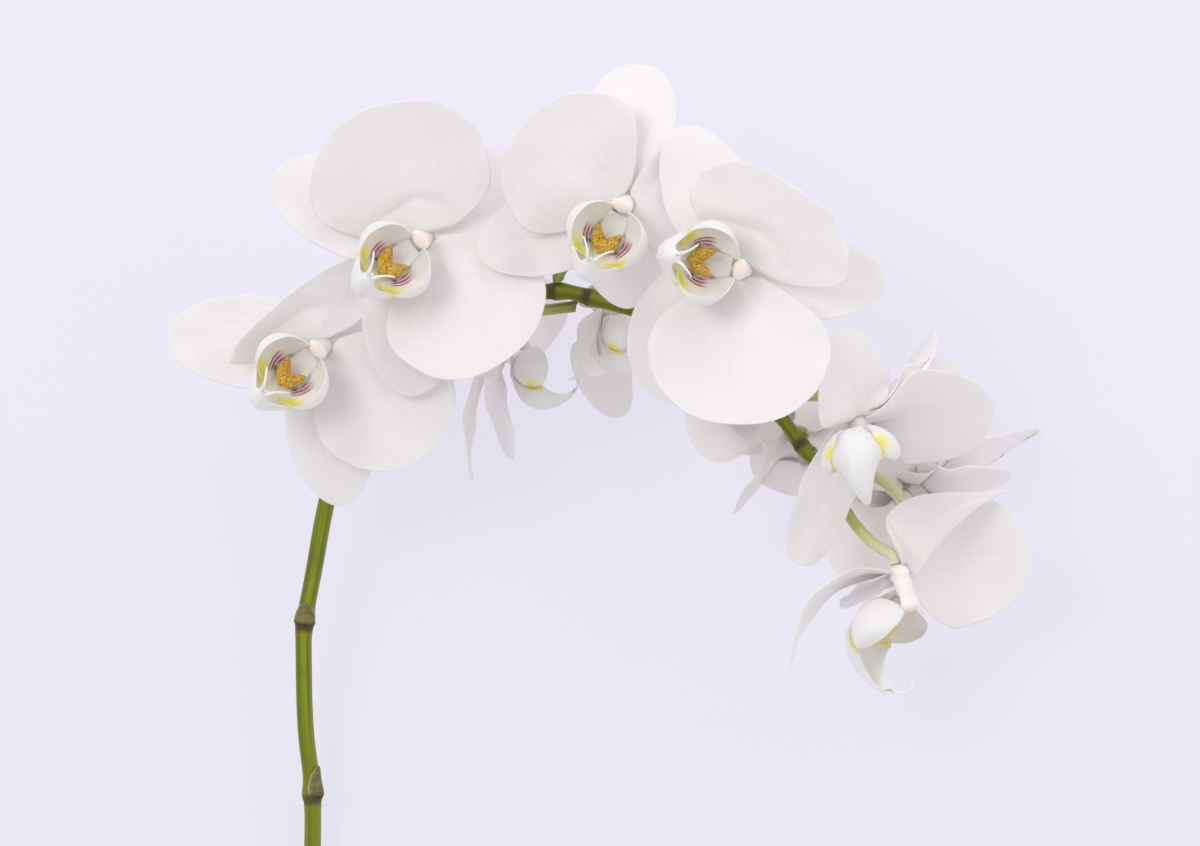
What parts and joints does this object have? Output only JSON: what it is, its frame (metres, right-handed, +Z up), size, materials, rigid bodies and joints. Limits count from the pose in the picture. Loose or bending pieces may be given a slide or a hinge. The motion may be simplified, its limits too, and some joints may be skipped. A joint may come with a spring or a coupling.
{
  "type": "moth orchid stem",
  "caption": "Cut flowering stem of a white moth orchid, with open blooms along its arching end, laid down on its back.",
  "frame": {"origin": "Middle of the whole outline seen from above, on the surface that the stem lies on.", "axes": "+Z is up from the surface, towards which the front blooms look. +Y runs from the cut end up the stem. +X runs along the arch of blooms."},
  "size_m": [0.2883, 0.3413, 0.1175],
  "materials": {
    "petal": "soft satin",
    "lip": "waxy satin",
    "callus": "waxy",
    "stalk": "smooth, slightly waxy",
    "stem": "smooth, slightly waxy"
  },
  "bodies": {
    "root": {"stem": "stem", "pedicel_01": "stalk", "bloom_01": "petal", "bloom_01_lip": "lip", "bloom_01_callus": "callus", "pedicel_02": "stalk", "bloom_02": "petal", "bloom_02_lip": "lip", "bloom_02_callus": "callus", "pedicel_03": "stalk", "bloom_03": "petal", "bloom_03_lip": "lip", "bloom_03_callus": "callus", "pedicel_04": "stalk", "bloom_04": "petal", "bloom_04_lip": "lip", "bloom_04_callus": "callus", "pedicel_05": "stalk", "bloom_05": "petal", "bloom_05_lip": "lip", "bloom_05_callus": "callus", "pedicel_06": "stalk", "bloom_06": "petal", "bloom_06_lip": "lip", "bloom_06_callus": "callus", "pedicel_07": "stalk", "bloom_07": "petal", "bloom_07_lip": "lip", "bloom_07_callus": "callus", "pedicel_08": "stalk", "bloom_08": "petal", "bloom_08_lip": "lip", "bloom_08_callus": "callus", "pedicel_09": "stalk", "bloom_09": "petal", "bloom_09_lip": "lip", "bloom_09_callus": "callus", "pedicel_10": "stalk", "bloom_10": "petal", "bloom_10_lip": "lip", "bloom_10_callus": "callus", "pedicel_11": "stalk", "bloom_11": "petal", "bloom_11_lip": "lip", "bloom_11_callus": "callus"}
  },
  "joints": []
}
